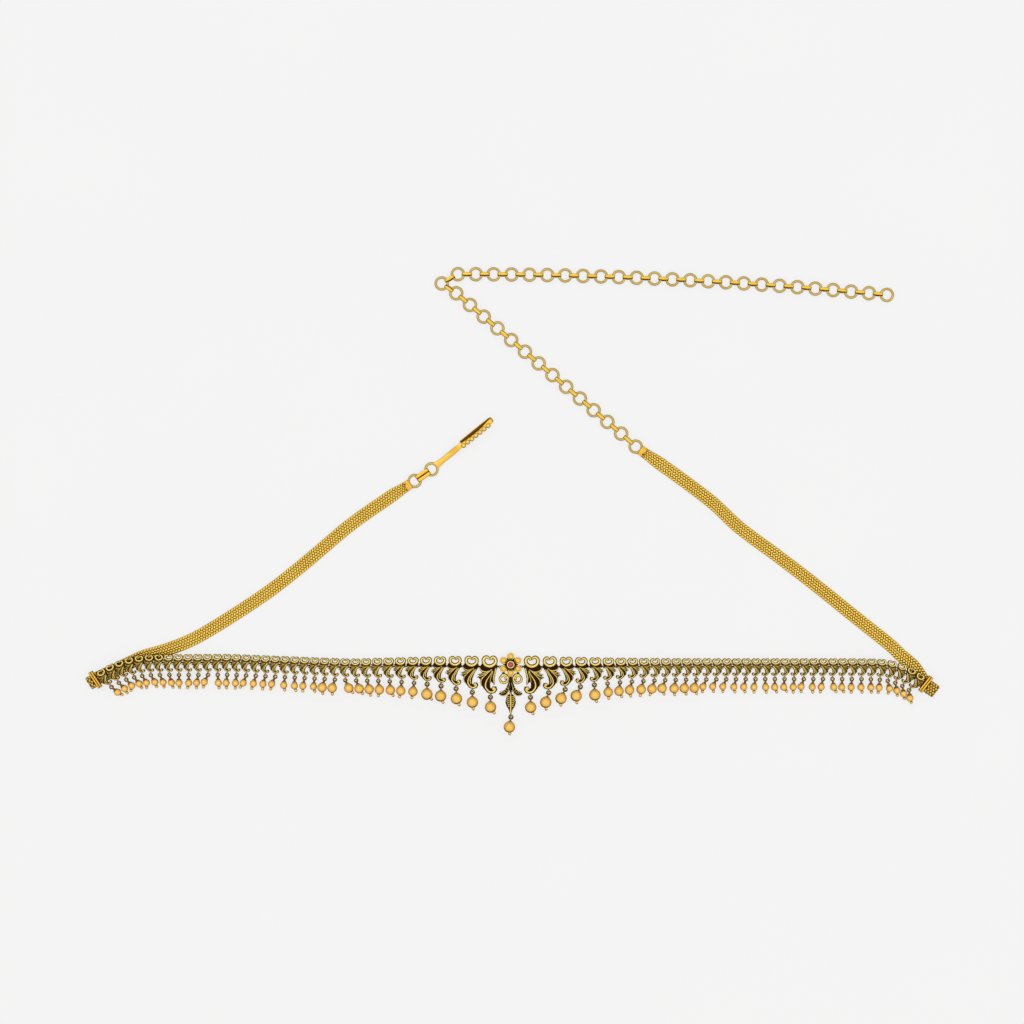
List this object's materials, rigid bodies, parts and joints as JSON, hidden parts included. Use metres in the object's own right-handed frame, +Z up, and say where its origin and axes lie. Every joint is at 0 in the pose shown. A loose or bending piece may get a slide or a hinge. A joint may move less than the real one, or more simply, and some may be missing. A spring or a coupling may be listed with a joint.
{
  "type": "waist belt",
  "caption": "Gold waist belt: a row of cast scroll motifs with ball drops round a flower, woven mesh bands, a beaded hook and an adjusting chain of rings.",
  "frame": {"origin": "centre of the box round the laid-out belt, at the surface it lies on", "axes": "+X along the row of scroll motifs towards the end with the adjusting chain's band, +Y from the row of motifs towards the adjusting chain, +Z up from the surface it lies on"},
  "size_m": [0.3586, 0.1962, 0.0048],
  "materials": {
    "cast_gold": "polished cast relief with dark recesses",
    "ball_gold": "polished",
    "woven_gold": "woven wire, satin",
    "chain_gold": "polished wire",
    "fitting_gold": "polished",
    "pink_stone": "faceted"
  },
  "bodies": {
    "root": {"centre_motif": "cast_gold", "centre_stone": "pink_stone", "centre_drop": "ball_gold", "motif_left_1": "cast_gold", "motif_left_2": "cast_gold", "motif_left_3": "cast_gold", "motif_left_4": "cast_gold", "motif_left_5": "cast_gold", "motif_left_6": "cast_gold", "motif_right_1": "cast_gold", "motif_right_2": "cast_gold", "motif_right_3": "cast_gold", "motif_right_4": "cast_gold", "motif_right_5": "cast_gold", "motif_right_6": "cast_gold", "drop_left_1": "ball_gold", "drop_left_2": "ball_gold", "drop_left_3": "ball_gold", "drop_left_4": "ball_gold", "drop_left_5": "ball_gold", "drop_left_6": "ball_gold", "drop_right_1": "ball_gold", "drop_right_2": "ball_gold", "drop_right_3": "ball_gold", "drop_right_4": "ball_gold", "drop_right_5": "ball_gold", "drop_right_6": "ball_gold", "scroll_row_left": "cast_gold", "scroll_row_right": "cast_gold", "drop_row_left": "ball_gold", "drop_row_right": "ball_gold", "end_bar_left": "fitting_gold", "end_bar_right": "fitting_gold", "mesh_band_left": "woven_gold", "mesh_band_right": "woven_gold", "end_cap_left": "fitting_gold", "end_cap_right": "fitting_gold", "hook_link": "fitting_gold", "hook": "fitting_gold", "chain_slant": "chain_gold", "chain_run": "chain_gold"}
  },
  "joints": []
}
